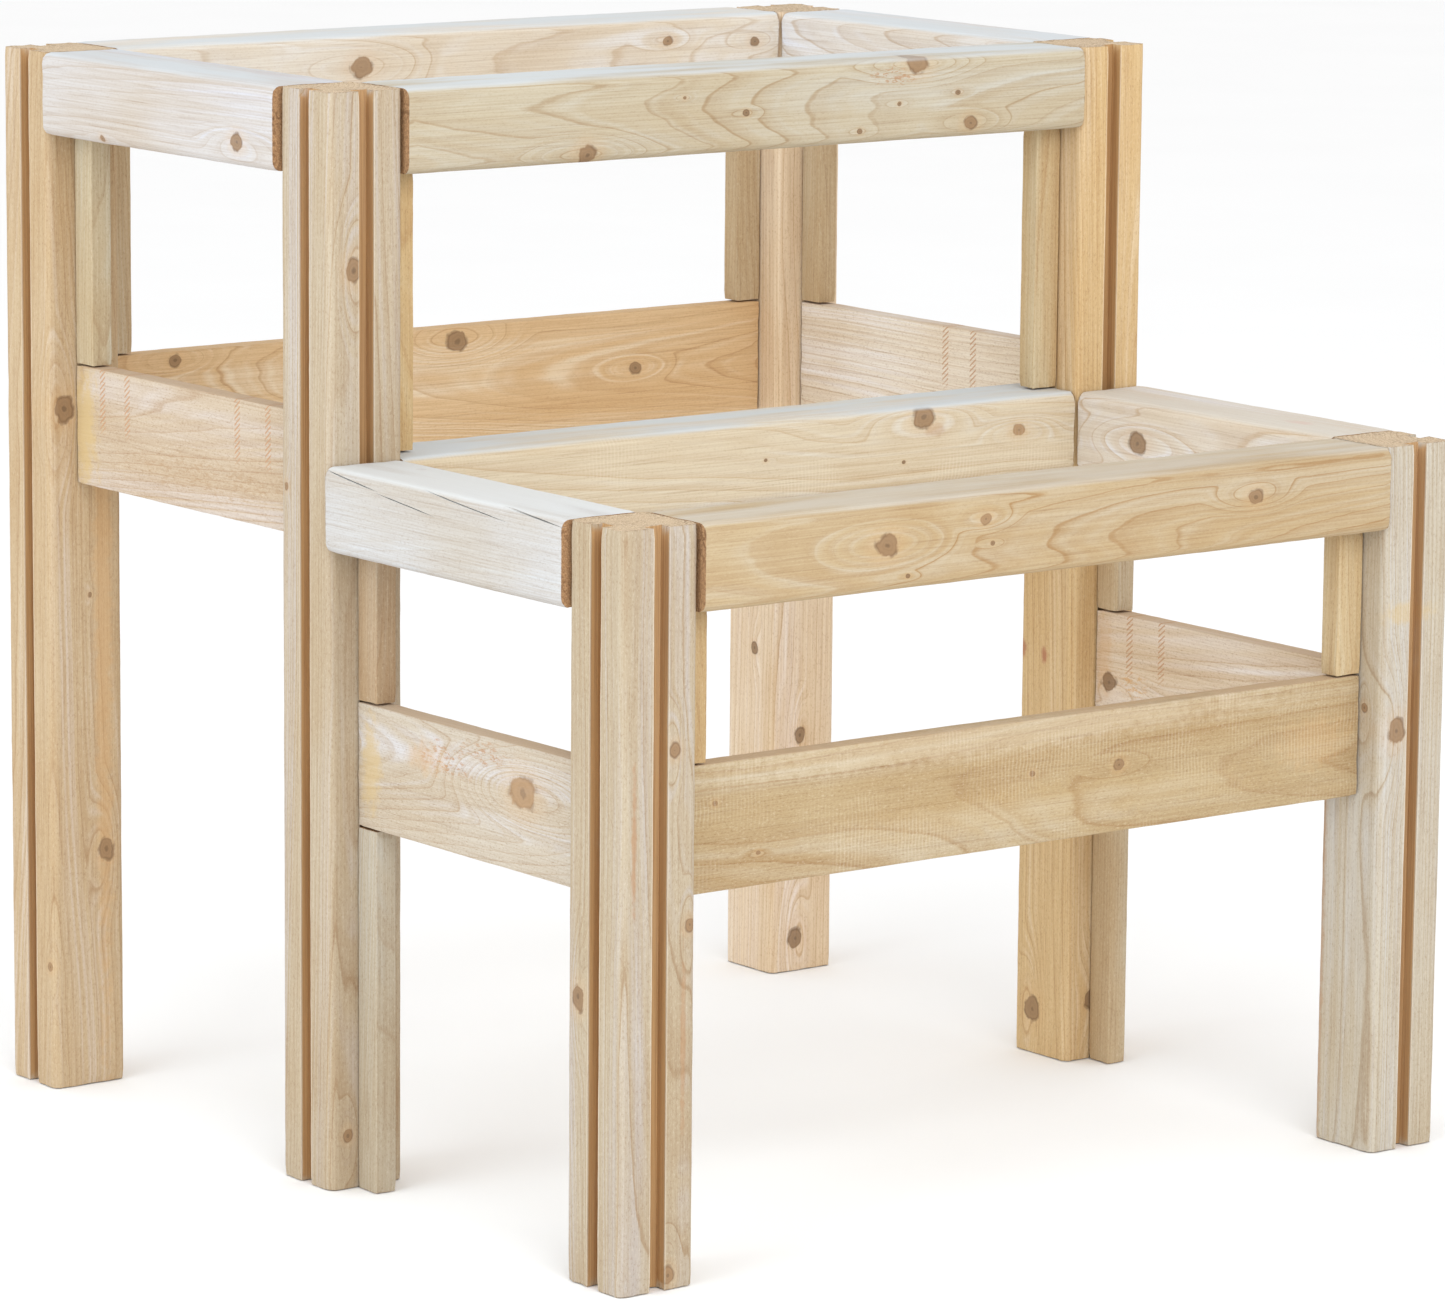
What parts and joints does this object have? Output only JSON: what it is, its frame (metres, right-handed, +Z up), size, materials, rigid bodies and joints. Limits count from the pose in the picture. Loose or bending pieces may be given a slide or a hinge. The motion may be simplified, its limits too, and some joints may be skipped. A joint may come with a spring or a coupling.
{
  "type": "raised planter on legs",
  "caption": "Two-tier raised cedar planter frame: a tall bed frame behind a low one, on grooved square posts, with thick top rims and thin lower boards.",
  "frame": {"origin": "centre of the planter's footprint, on the ground", "axes": "+Z up; -Y out of the low tier at the front, +Y out of the tall tier at the back; X across the planter, left to right seen from the front"},
  "size_m": [0.76, 0.799, 0.79],
  "materials": {
    "post_cedar": "rough-sawn cedar, pale cream with pink and tan streaks, matt",
    "tall_rim_cedar": "planed cedar sapwood, pale cream with cathedral grain and knots, matt",
    "low_rim_cedar": "planed cedar, golden tan, matt",
    "pale_rim_cedar": "weathered-white cedar sapwood with long drying checks, matt",
    "board_cedar": "rough-sawn cedar board with feed-roller marks, matt",
    "warm_board_cedar": "orange-brown cedar heartwood, matt",
    "spacer_cedar": "sawn cedar strip, tan, matt"
  },
  "bodies": {
    "root": {"post_front_left": "post_cedar", "post_front_right": "post_cedar", "post_mid_left": "post_cedar", "post_mid_right": "post_cedar", "post_back_left": "post_cedar", "post_back_right": "post_cedar", "rim_tall_left": "tall_rim_cedar", "rim_tall_right": "tall_rim_cedar", "rim_tall_back": "tall_rim_cedar", "rim_tall_front": "tall_rim_cedar", "rim_low_left": "pale_rim_cedar", "rim_low_right": "low_rim_cedar", "rim_low_back": "low_rim_cedar", "rim_low_front": "low_rim_cedar", "board_tall_left": "board_cedar", "board_tall_right": "board_cedar", "board_tall_back": "warm_board_cedar", "board_low_left": "board_cedar", "board_low_right": "board_cedar", "board_low_front": "board_cedar", "spacer_tall_back_left": "spacer_cedar", "spacer_tall_back_right": "spacer_cedar", "spacer_tall_front_left": "spacer_cedar", "spacer_tall_front_right": "spacer_cedar", "spacer_low_front_left": "spacer_cedar", "spacer_low_front_right": "spacer_cedar", "spacer_tall_left_front": "spacer_cedar", "spacer_tall_left_back": "spacer_cedar", "spacer_tall_right_front": "spacer_cedar", "spacer_tall_right_back": "spacer_cedar", "spacer_low_left_front": "spacer_cedar", "spacer_low_left_back": "spacer_cedar", "spacer_low_right_front": "spacer_cedar", "spacer_low_right_back": "spacer_cedar", "prop_left": "spacer_cedar", "prop_right": "spacer_cedar"}
  },
  "joints": []
}
